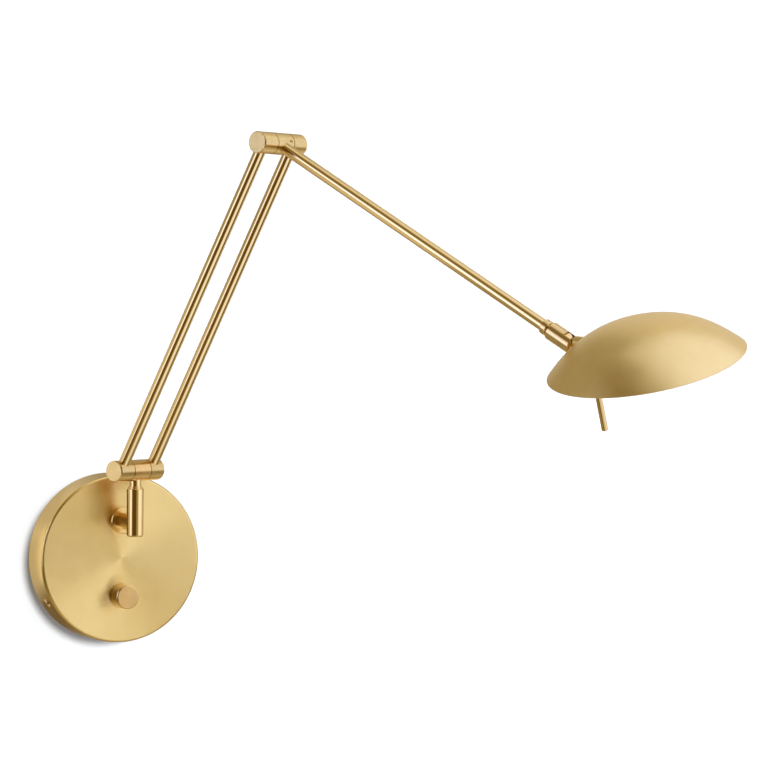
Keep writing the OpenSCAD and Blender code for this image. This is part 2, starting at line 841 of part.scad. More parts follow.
wall_bracket();
canopy();
canopy_screws();
rosette();
stem();
stem_tube();
stem_nut();
post();
post_grub_screw();
driver_case();
driver_screws();
terminal_block();
terminal_screws();
earth_screw();
dimmer_body();
dimmer_nut();
dimmer_knob();
dimmer_shaft();
knob_grub_screw();
swivel_pin();
lower_knuckle();
lower_barrel_left();
lower_barrel_right();
lower_axle();
lower_washers();
lower_tube_left();
lower_tube_right();
upper_barrel_left();
upper_barrel_right();
elbow_axle();
elbow_washers();
elbow_knuckle();
elbow_grub_screw();
upper_tube();
arm_collar();
coupling_spigot();
head_coupling();
coupling_grub_screw();
tilt_pin();
shade_shell();
tilt_stud();
stud_nut();
joint_block();
handle_rod();
heat_sink();
led_board();
leds();
diffuser();
diffuser_ring();
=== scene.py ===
"""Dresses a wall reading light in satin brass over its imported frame, with its studio and camera."""
import json
import math

import bpy
import numpy as np
from bpy.props import FloatProperty, FloatVectorProperty, PointerProperty
from mathutils import Matrix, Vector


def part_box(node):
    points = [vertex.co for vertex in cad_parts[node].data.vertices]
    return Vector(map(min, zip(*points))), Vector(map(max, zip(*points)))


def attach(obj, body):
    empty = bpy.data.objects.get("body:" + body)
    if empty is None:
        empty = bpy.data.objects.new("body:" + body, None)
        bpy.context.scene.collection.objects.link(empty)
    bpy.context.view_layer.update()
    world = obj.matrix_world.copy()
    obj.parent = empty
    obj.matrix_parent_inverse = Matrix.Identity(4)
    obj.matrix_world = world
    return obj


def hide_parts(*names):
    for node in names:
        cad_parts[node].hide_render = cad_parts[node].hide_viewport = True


bl_info = {
    "name": "Wall reading light",
    "version": (1, 0, 0),
    "blender": (4, 5, 0),
    "location": "3D View > Sidebar > Reading Light",
    "description": "Satin brass finishes, spun shade and studio for a jointed wall reading light",
    "category": "Object",
}

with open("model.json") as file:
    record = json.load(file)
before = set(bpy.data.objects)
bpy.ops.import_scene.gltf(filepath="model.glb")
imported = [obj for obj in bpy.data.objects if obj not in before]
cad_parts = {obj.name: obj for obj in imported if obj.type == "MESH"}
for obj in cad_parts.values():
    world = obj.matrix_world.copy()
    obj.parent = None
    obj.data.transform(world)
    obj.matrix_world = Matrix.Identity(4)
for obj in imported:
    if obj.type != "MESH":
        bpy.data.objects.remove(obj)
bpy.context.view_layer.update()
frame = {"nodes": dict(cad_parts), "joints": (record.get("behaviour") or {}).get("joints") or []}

NODES = frame["nodes"]
JOINTS = {joint["name"]: joint for joint in frame["joints"]}
WHITE = (1.0, 1.0, 1.0)


def unit(vector):
    """The vector drawn to length one."""
    vector = np.asarray(vector, float)
    return vector / np.linalg.norm(vector)


def joint_line(name):
    """A joint's point and direction."""
    joint = JOINTS[name]
    return np.array(joint["pos_m"]), unit(joint["axis"])


LOWER_PIVOT, BARREL_AXIS = joint_line("lower_arm_tilt")
ELBOW_PIVOT = joint_line("elbow")[0]
HEAD_PIVOT, ARM_AXIS = joint_line("head_turn")
TILT_AXIS = joint_line("shade_tilt")[1]
POST_LINE = (joint_line("arm_swivel")[0], np.array([0.0, 0.0, 1.0]))
KNOB_LINE = joint_line("knob_turn")
LOWER_TUBE_AXIS = unit(ELBOW_PIVOT - LOWER_PIVOT)
OUT_OF_WALL = np.array([0.0, -1.0, 0.0])


class ShadeSizes(bpy.types.PropertyGroup):
    """Sizes of the spun shade."""
    diameter: FloatProperty(
        name="Diameter", description="Outside diameter of the rim",
        default=0.1276, min=0.124, max=0.16, unit="LENGTH")
    height: FloatProperty(
        name="Height", description="Height of the dome above its rim",
        default=0.0283, min=0.027, max=0.04, unit="LENGTH")
    fullness: FloatProperty(
        name="Fullness", description="Power of the dome's curve, where 2 is a parabola",
        default=2.42, min=2.2, max=2.8)
    wall: FloatProperty(
        name="Wall", description="Sheet thickness",
        default=0.001, min=0.0008, max=0.0014, unit="LENGTH")
    tilt: FloatProperty(
        name="Tilt", description="Angle between the upper arm and the shade",
        default=math.radians(28.6), subtype="ANGLE")
    pivot_outside: FloatProperty(
        name="Pivot outside rim", description="Distance of the tilt pin outside the rim",
        default=0.002, unit="LENGTH")
    pivot_above: FloatProperty(
        name="Pivot above rim", description="Height of the tilt pin above the rim's plane",
        default=0.0105, unit="LENGTH")
    handle_radius: FloatProperty(
        name="Handle radius", description="Distance of the handle rod from the shade's axis",
        default=0.0467, unit="LENGTH")


class BrassFinish(bpy.types.PropertyGroup):
    """Colour and surface of the satin brass."""
    colour: FloatVectorProperty(
        name="Colour", description="Colour of the bare metal",
        default=(0.85, 0.63, 0.29), min=0.0, max=1.0, size=3, subtype="COLOR")
    shadow_colour: FloatVectorProperty(
        name="Deep colour", description="Colour in the bottoms of the fine grooves",
        default=(0.80, 0.57, 0.24), min=0.0, max=1.0, size=3, subtype="COLOR")
    sheet_roughness: FloatProperty(
        name="Sheet roughness", description="Roughness of the canopy and the shade",
        default=0.24, min=0.0, max=1.0, subtype="FACTOR")
    tube_roughness: FloatProperty(
        name="Tube roughness", description="Roughness of the tubes, the post and the stem",
        default=0.13, min=0.0, max=1.0, subtype="FACTOR")
    barrel_roughness: FloatProperty(
        name="Barrel roughness", description="Roughness of the hinge barrels",
        default=0.24, min=0.0, max=1.0, subtype="FACTOR")
    groove_pitch: FloatProperty(
        name="Groove pitch", description="Width of one brushed groove",
        default=0.00012, min=0.00005, max=0.002, unit="LENGTH")


class StudioLight(bpy.types.PropertyGroup):
    """Levels of the studio round the light."""
    surround: FloatProperty(
        name="Surround", description="Level of the light tent at the horizon",
        default=0.45, min=0.0, max=2.0)
    overhead: FloatProperty(
        name="Overhead", description="Level of the light tent straight above",
        default=0.90, min=0.0, max=2.0)
    tent_centre: FloatVectorProperty(
        name="Tent centre", description="Centre of the light tent",
        default=(0.08, -0.2, 0.15), size=3, subtype="TRANSLATION")
    tent_radius: FloatProperty(
        name="Tent radius", description="Radius of the light tent",
        default=1.6, unit="LENGTH")
    window_level: FloatProperty(
        name="Window level", description="Strength of the soft lamp in front",
        default=3.85, min=0.0, max=5.0)
    window_angle: FloatProperty(
        name="Window size", description="Apparent size of the soft lamp",
        default=math.radians(15), subtype="ANGLE")
    window_azimuth: FloatProperty(
        name="Window azimuth", description="How far to the right the soft lamp stands",
        default=math.radians(8.5), subtype="ANGLE")
    window_elevation: FloatProperty(
        name="Window elevation", description="How high the soft lamp stands",
        default=math.radians(9), subtype="ANGLE")
    wall_colour: FloatVectorProperty(
        name="Wall colour", description="Colour of the wall and the floor under the lamps",
        default=(0.60, 0.61, 0.615), min=0.0, max=1.0, size=3, subtype="COLOR")
    wall_lift: FloatVectorProperty(
        name="Wall lift", description="Light added to the wall where it is seen as background",
        default=(0.005, 0.02, 0.03), min=0.0, max=1.0, size=3, subtype="COLOR")
    floor_lift: FloatProperty(
        name="Floor lift", description="Light added to the floor where it is seen as background",
        default=0.45, min=0.0, max=1.0)
    # The next four colours are painted into the wall's glow as the metal sees it: a painted light
    # halo, painted dim and bright sides, and a painted shadow round the canopy.
    halo_light: FloatVectorProperty(
        name="Wall round the canopy",
        description="Colour of the wall outside the canopy's shadow, as the rim shows it",
        default=(1.15, 1.1, 0.95), min=0.0, max=2.0, size=3, subtype="COLOR")
    wall_dim: FloatVectorProperty(
        name="Wall in metal, dim", description="Colour of the wall's left, as the metal shows it",
        default=(0.40, 0.36, 0.25), min=0.0, max=1.0, size=3, subtype="COLOR")
    wall_bright: FloatVectorProperty(
        name="Wall in metal, bright",
        description="Colour of the wall's right, as the metal shows it",
        default=(0.78, 0.73, 0.62), min=0.0, max=1.0, size=3, subtype="COLOR")
    wall_shade: FloatVectorProperty(
        name="Wall in metal, shaded",
        description="Colour of the canopy's shadow, as the rim shows it",
        default=(0.12, 0.07, 0.01), min=0.0, max=1.0, size=3, subtype="COLOR")
    wall_gap: FloatProperty(
        name="Wall gap", description="Distance of the wall's surface behind the bracket",
        default=0.0003, unit="LENGTH")
    floor_drop: FloatProperty(
        name="Floor drop", description="Depth of the floor below the canopy's centre",
        default=1.55, unit="LENGTH")


class CameraSetup(bpy.types.PropertyGroup):
    """Where the camera stands and how it looks."""
    place: FloatVectorProperty(
        name="Place", description="Position of the camera",
        default=(-0.84831, -2.18874, 0.17844), size=3, subtype="TRANSLATION")
    azimuth: FloatProperty(
        name="Azimuth", description="Angle to the left of straight in front",
        default=-0.4540, subtype="ANGLE")
    pitch: FloatProperty(
        name="Pitch", description="Angle by which it looks down",
        default=0.0227, subtype="ANGLE")
    roll: FloatProperty(
        name="Roll", description="Turn about its own line of sight",
        default=-0.0085, subtype="ANGLE")
    lens: FloatProperty(
        name="Lens", description="Focal length in millimetres on a 36 mm sensor",
        default=152.65)


class Place:
    """Where a turned piece stands: its foot, its axis and one side direction."""

    def __init__(self, foot, along, side):
        self.foot = np.asarray(foot, float)
        self.along = unit(along)
        self.side = unit(np.asarray(side, float) - np.dot(side, self.along) * self.along)
        self.rows = np.stack([self.side, np.cross(self.along, self.side), self.along])

    def points(self, local):
        """Local points in the part's frame: foot + x side + y across + z along."""
        return self.foot + local @ self.rows


class Field:
    """A number or colour that varies over a surface. Arithmetic on it adds Math nodes."""

    def __init__(self, recipe, socket):
        self.recipe = recipe
        self.socket = socket

    def joined(self, operation, first, second):
        """A Math node on two values."""
        return self.recipe.node("ShaderNodeMath", {"operation": operation}, {0: first, 1: second})

    def __add__(self, other):
        return self.joined("ADD", self, other)

    def __sub__(self, other):
        return self.joined("SUBTRACT", self, other)

    def __rsub__(self, other):
        return self.joined("SUBTRACT", other, self)

    def __mul__(self, other):
        return self.joined("MULTIPLY", self, other)

    def __truediv__(self, other):
        return self.joined("DIVIDE", self, other)

    def __rtruediv__(self, other):
        return self.joined("DIVIDE", other, self)

    def __pow__(self, other):
        return self.joined("POWER", self, other)

    __radd__ = __add__
    __rmul__ = __mul__


class Recipe:
    """A node tree that a finish is written into."""

    def __init__(self, tree):
        self.tree = tree
        tree.nodes.clear()

    def node(self, kind, settings=None, sockets=None, output=0):
        """Adds a node, sets its settings and then its sockets, and gives one of its outputs."""
        made = self.tree.nodes.new(kind)
        for name, value in (settings or {}).items():
            setattr(made, name, value)
        for name, value in (sockets or {}).items():
            if isinstance(value, Field):
                self.tree.links.new(value.socket, made.inputs[name])
            else:
                made.inputs[name].default_value = value
        return Field(self, made.outputs[output] if made.outputs else None)

    def vector(self, operation, first, second=(0.0, 0.0, 0.0), output=0):
        """Vector Math on two vectors."""
        return self.node("ShaderNodeVectorMath", {"operation": operation},
                         {0: first, 1: second}, output)

    def scaled(self, vector, factor):
        """A vector times a number."""
        return self.node("ShaderNodeVectorMath", {"operation": "SCALE"},
                         {0: vector, "Scale": factor})

    def noise(self, place, scale, detail):
        """Smooth noise from 0 to 1 at a place."""
        sockets = {"Vector": place, "Scale": scale, "Detail": detail, "Roughness": 0.5}
        return self.node("ShaderNodeTexNoise", {"noise_dimensions": "3D"}, sockets, "Fac")

    def size(self, value):
        """A number without its sign."""
        return self.node("ShaderNodeMath", {"operation": "ABSOLUTE"}, {0: value})

    def greater(self, first, second):
        """The greater of two numbers."""
        return self.node("ShaderNodeMath", {"operation": "MAXIMUM"}, {0: first, 1: second})

    def smooth(self, value, low, high):
        """0 below low, 1 above high, and a smooth step between."""
        return self.node("ShaderNodeMapRange", {"interpolation_type": "SMOOTHSTEP"},
                         {"Value": value, "From Min": low, "From Max": high})

    def fall(self, value, low, high):
        """1 below low, 0 above high, and a smooth step between."""
        return 1 - self.smooth(value, low, high)

    def blend(self, factor, first, second):
        """A colour between two colours."""
        return self.node("ShaderNodeMix", {"data_type": "RGBA"},
                         {"Factor": factor, 6: first, 7: second}, 2)


def new_material(name):
    """A material and the recipe for its nodes."""
    material = bpy.data.materials.new(name)
    material.use_nodes = True
    return material, Recipe(material.node_tree)


def finish_surface(material, recipe, sockets):
    """Ends a recipe in one Principled surface."""
    surface = recipe.node("ShaderNodeBsdfPrincipled", None, sockets)
    recipe.node("ShaderNodeOutputMaterial", None, {"Surface": surface})
    return material


def colour4(colour, tint=WHITE):
    """Three colour parts times a tint, with an alpha of one."""
    return tuple(part * gain for part, gain in zip(colour, tint)) + (1.0,)


# The brass's mottling, in spots per metre, and how far its grooves wander, in grooves and radians.
MOTTLE_SCALE = 90.0
WANDER_LENGTH = 5.0
WANDER_TURN = 9.0
ROUGHNESS_SPREAD = 0.06
# The height of the fine grain on plastic and plated steel, in metres.
GRAIN_HEIGHT = 0.00002


def groove_colour(recipe, depth, finish, tint):
    """The brass's deep colour and its bare colour, mixed by depth, times a tint."""
    return recipe.blend(depth, colour4(finish.shadow_colour, tint), colour4(finish.colour, tint))


def turned_brass(name, line, roughness, lean, side_lean=None, pitch_gain=1.0, tint=WHITE,
                 side_tone_and_painted_highlight=None):
    """Brass turned or brushed round a line.

    The surface leans to and fro across the fine grooves by a sine of the distance from the line
    less the height along it, so a highlight stretches across them as on the real metal. The
    faces that look sideways from the line may have a lean and a tone of their own, which on the knob
    is a painted highlight.
    """
    finish = bpy.context.scene.reading_light_brass
    foot, along = (tuple(float(part) for part in vector) for vector in line)
    material, recipe = new_material(name)
    point = recipe.node("ShaderNodeTexCoord", output="Object")
    normal = recipe.node("ShaderNodeTexCoord", output="Normal")
    arm = recipe.vector("SUBTRACT", point, foot)
    height = recipe.vector("DOT_PRODUCT", arm, along, "Value")
    around = recipe.vector("CROSS_PRODUCT", along, arm)
    radius = recipe.vector("LENGTH", around, output="Value")
    across = recipe.vector("NORMALIZE", recipe.vector("CROSS_PRODUCT", around, normal))
    pitch = finish.groove_pitch * pitch_gain
    mottle = recipe.noise(point, MOTTLE_SCALE, 2.0)
    wander = recipe.noise(point, 1 / (WANDER_LENGTH * pitch), 1.0)
    phase = (radius - height) * (2 * math.pi / pitch) + wander * WANDER_TURN
    fine = recipe.node("ShaderNodeMath", {"operation": "SINE"}, {0: phase})
    facing = recipe.size(recipe.vector("DOT_PRODUCT", normal, along, "Value"))
    facing = recipe.smooth(facing, 0.4, 0.9)
    if side_lean is not None:
        lean = facing * (lean - side_lean) + side_lean
    bent = recipe.vector("ADD", normal, recipe.scaled(across, fine * lean))
    turned = recipe.node("ShaderNodeVectorTransform",
                         {"vector_type": "NORMAL", "convert_from": "OBJECT", "convert_to": "WORLD"},
                         {"Vector": bent})
    depth = recipe.smooth(fine * 0.15 + wander * 0.4 + mottle * 0.6, 0.2, 0.8)
    colour = groove_colour(recipe, depth, finish, tint)
    # A tone for the sideways faces; on the knob it is a lighter copy of the brass, a painted
    # highlight.
    if side_tone_and_painted_highlight is not None:
        colour = recipe.blend(facing, groove_colour(recipe, depth, finish, side_tone_and_painted_highlight), colour)
    return finish_surface(material, recipe, {
        "Base Color": colour,
        "Metallic": 1.0,
        "Roughness": (mottle - 0.5) * ROUGHNESS_SPREAD + roughness,
        "Normal": recipe.vector("NORMALIZE", turned),
    })


def grained(name, colour, roughness, metallic=0.0, grain=0.0006):
    """A moulded plastic or a plated steel with a fine grain and faint mottling."""
    material, recipe = new_material(name)
    point = recipe.node("ShaderNodeTexCoord", output="Object")
    fine = recipe.noise(point, 1 / grain, 2.0)
    broad = recipe.noise(point, 70.0, 2.0)
    bump = recipe.node("ShaderNodeBump", None,
                       {"Strength": 0.6, "Distance": GRAIN_HEIGHT, "Height": fine}, "Normal")
    tint = recipe.blend(broad, colour4(colour, (0.94,) * 3), colour4(colour, (1.03,) * 3))
    return finish_surface(material, recipe, {
        "Base Color": tint,
        "Metallic": metallic,
        "Roughness": (broad - 0.5) * 0.1 + roughness,
        "Normal": bump,
    })


def middle(node_name):
    """The middle of a node's box."""
    return np.mean(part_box(node_name), axis=0)


def dress(node_names, material):
    """Gives CAD nodes a material in their own slots."""
    for node_name in node_names:
        for slot in NODES[node_name].material_slots:
            slot.material = material


def new_piece(name, points, faces, material):
    """A smooth-shaded mesh object whose faces point outwards.

    The signed volume, a sixth of the sum of each face's corner products, tells if they do.
    """
    mesh = bpy.data.meshes.new(name)
    corners = points[faces[:, :3]]
    volume = np.einsum("ij,ij->i", corners[:, 0], np.cross(corners[:, 1], corners[:, 2])).sum()
    if volume < 0:
        faces = faces[:, ::-1]
    mesh.from_pydata(points.tolist(), [], faces.tolist())
    mesh.validate()
    mesh.shade_smooth()
    mesh.set_sharp_from_angle(angle=math.radians(35))
    mesh.materials.append(material)
    made = bpy.data.objects.new(name, mesh)
    bpy.context.scene.collection.objects.link(made)
    return made


def turned_mesh(profile, place, turns):
    """A closed surface of revolution as points and triangles.

    Profile point i at turn t lies at (r_i cos t, r_i sin t, z_i), and the profile is a closed loop
    or starts and ends on the axis. Rings on the axis are drawn to one point.
    """
    profile = np.asarray(profile, float)
    angles = np.linspace(0, 2 * math.pi, turns, endpoint=False)
    rings, steps = np.meshgrid(np.arange(len(profile)), np.arange(turns), indexing="ij")
    radius = profile[rings, 0]
    local = np.stack([radius * np.cos(angles)[steps], radius * np.sin(angles)[steps],
                      profile[rings, 1]], -1).reshape(-1, 3)
    index = rings * turns + steps
    index = np.where(radius < 1e-9, rings * turns, index)
    first, second = index[:-1], index[1:]
    first_next, second_next = np.roll(first, -1, 1), np.roll(second, -1, 1)
    faces = np.concatenate([
        np.stack([first, second, second_next], -1).reshape(-1, 3),
        np.stack([first, second_next, first_next], -1).reshape(-1, 3)])
    a, b, c = faces.T
    faces = faces[(a != b) & (b != c) & (a != c)]
    used, faces = np.unique(faces, return_inverse=True)
    return place.points(local[used]), faces.reshape(-1, 3)


def shade_place():
    """The shade's own frame: rim centre, dome axis and the direction away from the arm."""
    sizes = bpy.context.scene.reading_light_shade
    pin = -TILT_AXIS
    side = np.cross(pin, ARM_AXIS)
    turn = math.pi / 2 + sizes.tilt
    outward = math.cos(turn) * side + math.sin(turn) * ARM_AXIS
    dome = -math.sin(turn) * side + math.cos(turn) * ARM_AXIS
    reach = sizes.diameter / 2 + sizes.pivot_outside
    centre = HEAD_PIVOT + reach * outward - sizes.pivot_above * dome
    return Place(centre, dome, outward)


def shade_profile(sizes):
    """The spun sheet's section, from the dome's top over the rim to the inside of the top.

    Outside z = h (1 - (r / R)^p), inside the same curve drawn in by the wall, with a flat land at
    the rim whose two edges are quarter rounds.
    """
    rim, land, soft = sizes.diameter / 2, 1.4 * sizes.wall, 0.25 * sizes.wall
    share = np.sin(np.linspace(0, math.pi / 2, 90))
    outer_r = share * rim
    outer_z = sizes.height * (1 - share ** sizes.fullness)
    inner_r = share[::-1] * (rim - land)
    inner_z = (sizes.height - sizes.wall) * (1 - share[::-1] ** sizes.fullness)
    low = np.linspace(0, math.pi / 2, 6)
    outer_keep = outer_z > soft
    inner_keep = inner_z > soft
    edge_r = rim - soft * 1.4 + soft * np.cos(low)
    edge_z = soft - soft * np.sin(low)
    land_r = rim - land + soft * 1.4 - soft * np.cos(low[::-1])
    land_z = soft - soft * np.sin(low[::-1])
    return np.stack([
        np.concatenate([outer_r[outer_keep], edge_r, land_r, inner_r[inner_keep]]),
        np.concatenate([outer_z[outer_keep], edge_z, land_z, inner_z[inner_keep]])], -1)


class READINGLIGHT_OT_canopy(bpy.types.Operator):
    """Finish the round canopy and its rim screws"""
    bl_idname = "reading_light.canopy"
    bl_label = "Canopy"

    def execute(self, context):
        finish = context.scene.reading_light_brass
        line = (np.zeros(3), OUT_OF_WALL)
        dress(["canopy"], turned_brass(
            "canopy brass", line, finish.sheet_roughness, lean=0.23, side_lean=0.05,
            pitch_gain=1.2, tint=(1.0, 0.97, 0.77)))
        dress(["canopy_screws"], turned_brass(
            "rim screw brass", line, 0.25, lean=0.03, tint=(0.9, 0.9, 0.9)))
        return {"FINISHED"}


class READINGLIGHT_OT_knob(bpy.types.Operator):
    """Finish the dimmer knob"""
    bl_idname = "reading_light.knob"
    bl_label = "Dimmer knob"

    def execute(self, context):
        finish = context.scene.reading_light_brass
        # The knob's face takes its own pinkish alloy tone; its sides take a lighter, paler copy of
        # the brass, a painted highlight.
        dress(["dimmer_knob"], turned_brass(
            "knob brass", KNOB_LINE, finish.barrel_roughness, lean=0.1, side_lean=0.05,
            tint=(0.90, 0.79, 0.64), side_tone_and_painted_highlight=(1.17, 1.25, 1.4)))
        return {"FINISHED"}


class READINGLIGHT_OT_post(bpy.types.Operator):
    """Finish the stem, its rosette, the post and the swivel neck"""
    bl_idname = "reading_light.post"
    bl_label = "Stem and post"

    def execute(self, context):
        finish = context.scene.reading_light_brass
        # The stem and rosette take a lighter copy of the brass: a painted sheen for the bright light
        # they mirror.
        dress(["stem", "rosette"], turned_brass(
            "stem brass", (middle("rosette"), OUT_OF_WALL), finish.tube_roughness + 0.06,
            lean=0.03, tint=(1.12, 1.10, 0.95)))
        dress(["post", "swivel_pin"], turned_brass(
            "post brass", POST_LINE, finish.tube_roughness, lean=0.02, tint=(1.0, 0.98, 0.92)))
        return {"FINISHED"}


class READINGLIGHT_OT_barrels(bpy.types.Operator):
    """Finish the two hinge barrels with round brushing"""
    bl_idname = "reading_light.barrels"
    bl_label = "Hinge barrels"

    def execute(self, context):
        finish = context.scene.reading_light_brass
        # The lower barrels' end faces take a paler copy of the brass: a painted highlight. The
        # knuckle's pink is its own alloy.
        plain, pale, pink = (1.0, 0.98, 0.9), (1.12, 1.14, 1.2), (1.15, 1.04, 0.95)
        for place, pivot, end_tone_and_painted_highlight, side, names in (
                ("lower", LOWER_PIVOT, pale, plain, ["lower_barrel_left", "lower_barrel_right"]),
                ("knuckle", LOWER_PIVOT, pink, pink, ["lower_knuckle"]),
                ("upper", ELBOW_PIVOT, plain, plain, ["upper_barrel_left", "upper_barrel_right",
                                                      "elbow_knuckle", "elbow_grub_screw"])):
            dress(names, turned_brass(
                place + " barrel brass", (pivot, BARREL_AXIS), finish.barrel_roughness,
                lean=0.06, side_lean=0.1, pitch_gain=1.8, tint=end_tone_and_painted_highlight, side_tone_and_painted_highlight=side))
        return {"FINISHED"}


class READINGLIGHT_OT_tubes(bpy.types.Operator):
    """Finish the arm tubes, the collar and the coupling"""
    bl_idname = "reading_light.tubes"
    bl_label = "Arm tubes"

    def execute(self, context):
        finish = context.scene.reading_light_brass
        arm_line = (HEAD_PIVOT, ARM_AXIS)
        for node_name, title, line in (
                ("lower_tube_left", "left", (middle("lower_tube_left"), LOWER_TUBE_AXIS)),
                ("lower_tube_right", "right", (middle("lower_tube_right"), LOWER_TUBE_AXIS)),
                ("upper_tube", "upper", arm_line)):
            dress([node_name], turned_brass(
                title + " tube brass", line, finish.tube_roughness, lean=0.015))
        # The collar, spigot, coupling and pin take a darker copy of the brass: painted shade.
        dress(["arm_collar", "coupling_spigot", "head_coupling", "tilt_pin"], turned_brass(
            "coupling brass", arm_line, finish.tube_roughness + 0.04, lean=0.04,
            tint=(0.9, 0.88, 0.85)))
        return {"FINISHED"}


class READINGLIGHT_OT_shade(bpy.types.Operator):
    """Spin the domed shade and finish its stud, block and handle rod"""
    bl_idname = "reading_light.shade"
    bl_label = "Shade"

    def execute(self, context):
        scene = context.scene
        finish, sizes = scene.reading_light_brass, scene.reading_light_shade
        place = shade_place()
        line = (place.foot, place.along)
        spun = turned_brass("shade brass", line, finish.sheet_roughness + 0.1, lean=0.06,
                            pitch_gain=1.2, tint=(1.03, 1.04, 1.0))
        points, faces = turned_mesh(shade_profile(sizes), place, 192)
        shade = new_piece("spun_shade", points, faces, spun)
        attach(shade, "shade")
        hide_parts("shade_shell")
        dress(["tilt_stud"], turned_brass("stud brass", (HEAD_PIVOT, place.side), 0.2, lean=0.03))
        rod_line = (place.foot - sizes.handle_radius * place.side, place.along)
        dress(["handle_rod"], turned_brass(
            "handle brass", rod_line, finish.tube_roughness, lean=0.015, tint=(0.85, 0.82, 0.72)))
        dress(["joint_block"], turned_brass("block brass", line, 0.3, lean=0.02))
        return {"FINISHED"}


class READINGLIGHT_OT_light_unit(bpy.types.Operator):
    """Finish the heat sink, the board, the diodes and the frosted cover"""
    bl_idname = "reading_light.light_unit"
    bl_label = "Light unit"

    def execute(self, context):
        dress(["heat_sink"], grained("cast aluminium", (0.62, 0.62, 0.63), 0.42, 1.0, 0.0009))
        dress(["led_board"], grained("white board", (0.85, 0.85, 0.83), 0.35))
        dress(["leds"], grained("phosphor", (0.86, 0.68, 0.16), 0.4, 0.0, 0.0004))
        dress(["diffuser"], grained("frosted cover", (0.86, 0.86, 0.83), 0.55, 0.0, 0.0004))
        dress(["diffuser_ring"], grained("ring plastic", (0.80, 0.80, 0.78), 0.4))
        return {"FINISHED"}


class READINGLIGHT_OT_fittings(bpy.types.Operator):
    """Finish the bracket, screws, nuts, axles and the parts inside the canopy"""
    bl_idname = "reading_light.fittings"
    bl_label = "Inner fittings"

    def execute(self, context):
        dress(["wall_bracket", "stem_tube", "stem_nut", "driver_screws", "terminal_screws",
               "dimmer_nut", "dimmer_shaft", "lower_axle", "elbow_axle", "stud_nut"],
              grained("zinc plated steel", (0.56, 0.57, 0.58), 0.32, 1.0, 0.0008))
        dress(["post_grub_screw", "knob_grub_screw", "coupling_grub_screw"],
              grained("blued steel", (0.09, 0.085, 0.08), 0.35, 1.0, 0.0005))
        dress(["earth_screw"], grained("screw brass", (0.72, 0.50, 0.20), 0.25, 1.0, 0.0005))
        dress(["driver_case"], grained("white plastic", (0.76, 0.76, 0.74), 0.45, 0.0, 0.0007))
        dress(["terminal_block"], grained("ivory plastic", (0.68, 0.62, 0.48), 0.4, 0.0, 0.0007))
        dress(["dimmer_body", "lower_washers", "elbow_washers"],
              grained("black plastic", (0.03, 0.03, 0.03), 0.5, 0.0, 0.0007))
        return {"FINISHED"}


# Cards of the light tent: name, azimuth and elevation of the centre, width and height, soft edge,
# and level. Angles are in degrees. Azimuth 0 is straight out of the wall, positive to the right.
CARDS = (
    ("left high shadow", -115, 30, 76, 36, 10, 0.24),
    ("top left shadow", -78, 54, 40, 32, 12, 0.27),
    ("top right window", 75, 58, 126, 50, 20, 1.07),
    ("low left shadow", -92, -26, 84, 22, 10, 0.14),
    ("front shadow", -37, 3, 57, 79, 18, 0.12),
    ("right window", 53, 8, 62, 70, 24, 1.21),
    ("low right shadow", 92, -30, 56, 34, 12, 0.16),
    ("low front window", 14, -40, 44, 34, 14, 1.15),
    ("low left window", -120, -4, 54, 16, 9, 1.2),
    ("left window", -93, 8, 34, 42, 12, 1.5),
)


def direction(azimuth, elevation):
    """A unit vector from angles in degrees."""
    a, e = math.radians(azimuth), math.radians(elevation)
    return np.array([math.sin(a) * math.cos(e), -math.cos(a) * math.cos(e), math.sin(e)])


def card_mask(recipe, ray, azimuth, elevation, width, height, edge):
    """1 where a ray meets a flat card, with soft edges.

    The ray's sideways and upward parts over its forward part are compared with the tangents of
    half the card's width and height.
    """
    ahead = direction(azimuth, elevation)
    right = unit(np.cross(ahead, (0.0, 0.0, 1.0)))
    upward = np.cross(right, ahead)
    forward = recipe.vector("DOT_PRODUCT", ray, tuple(ahead), "Value")
    mask = recipe.smooth(forward, 0.02, 0.06)
    for across, span in ((right, width), (upward, height)):
        part = recipe.vector("DOT_PRODUCT", ray, tuple(across), "Value") / forward
        inner = math.tan(math.radians(max(span / 2 - edge / 2, 1)))
        outer = math.tan(math.radians(min(span / 2 + edge / 2, 85)))
        mask = mask * recipe.fall(recipe.size(part), inner, outer)
    return mask


def background_ray(recipe):
    """1 on rays that show the background: from the camera, in gloss and through glass."""
    camera, gloss, glass = (recipe.node("ShaderNodeLightPath", output=name)
                            for name in ("Is Camera Ray", "Is Glossy Ray", "Is Transmission Ray"))
    return recipe.greater(recipe.greater(camera, gloss), glass)


def build_world():
    """Plain white all round, as soft light and as background."""
    world = bpy.data.worlds.new("studio")
    bpy.context.scene.world = world
    world.use_nodes = True
    recipe = Recipe(world.node_tree)
    white = recipe.node("ShaderNodeBackground", None, {"Color": colour4(WHITE), "Strength": 1.0})
    recipe.node("ShaderNodeOutputWorld", None, {"Surface": white})


